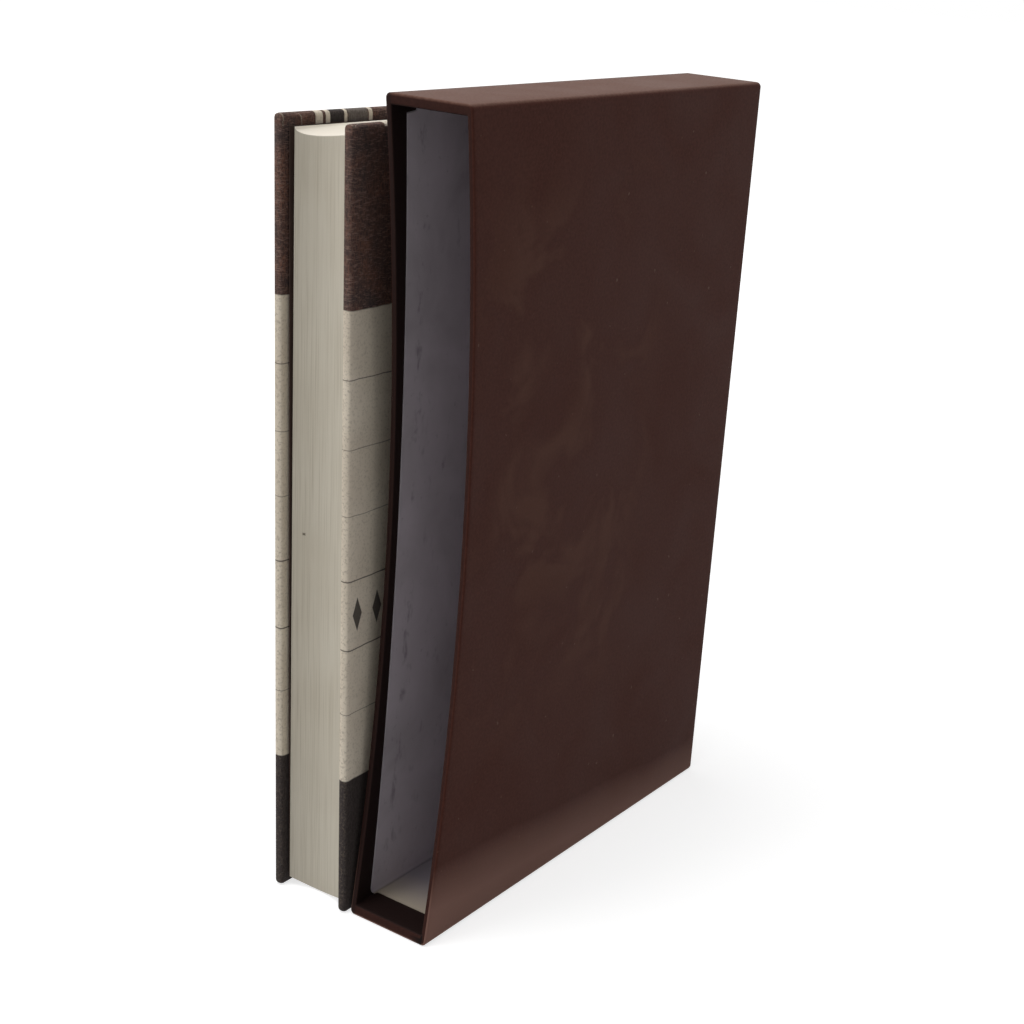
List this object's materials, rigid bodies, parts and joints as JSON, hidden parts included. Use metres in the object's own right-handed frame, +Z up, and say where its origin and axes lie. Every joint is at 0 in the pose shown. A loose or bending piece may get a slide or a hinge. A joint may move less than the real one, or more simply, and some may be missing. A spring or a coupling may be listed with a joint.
{
  "type": "hardback book with slipcase",
  "caption": "Casebound hardback book standing beside its open-fronted brown slipcase, with covers that open on cloth joints.",
  "frame": {"origin": "centre of the slipcase's flat bottom face", "axes": "+Z up along the height, the slipcase's mouth and the book's fore edge face -Y, +X from the book to the slipcase"},
  "size_m": [0.0677, 0.1603, 0.25],
  "materials": {
    "slipcase_paper": "dark brown satin paper over board, faintly mottled",
    "lining_paper": "matt white lining paper",
    "cover_paper": "printed matt covering, brown above cream above slate",
    "endpaper": "matt dark endpaper",
    "page_paper": "cut edges of cream pages",
    "spine_cloth": "open cotton cloth and paper glued to the sewn back",
    "band_silk": "striped silk cord"
  },
  "bodies": {
    "slipcase": {"slipcase_shell": "slipcase_paper", "slipcase_lining": "lining_paper", "back_board": "cover_paper", "back_joint": "cover_paper", "back_pastedown": "endpaper"},
    "text_block": {"page_block": "page_paper", "front_flyleaf": "endpaper", "back_flyleaf": "endpaper", "spine_cover": "cover_paper", "spine_lining": "spine_cloth", "head_band": "band_silk", "tail_band": "band_silk"},
    "front_cover": {"front_board": "cover_paper", "front_joint": "cover_paper", "front_pastedown": "endpaper"}
  },
  "joints": [
    {"name": "back_cover_hinge", "type": "hinge", "parent": "slipcase", "child": "text_block", "pos_m": [-0.02123, 0.06932, 0], "axis": [0, 0, -1], "range_deg": [0, 90]},
    {"name": "front_cover_hinge", "type": "hinge", "parent": "text_block", "child": "front_cover", "pos_m": [-0.04443, 0.06885, 0], "axis": [0, 0, -1], "range_deg": [0, 180]}
  ]
}
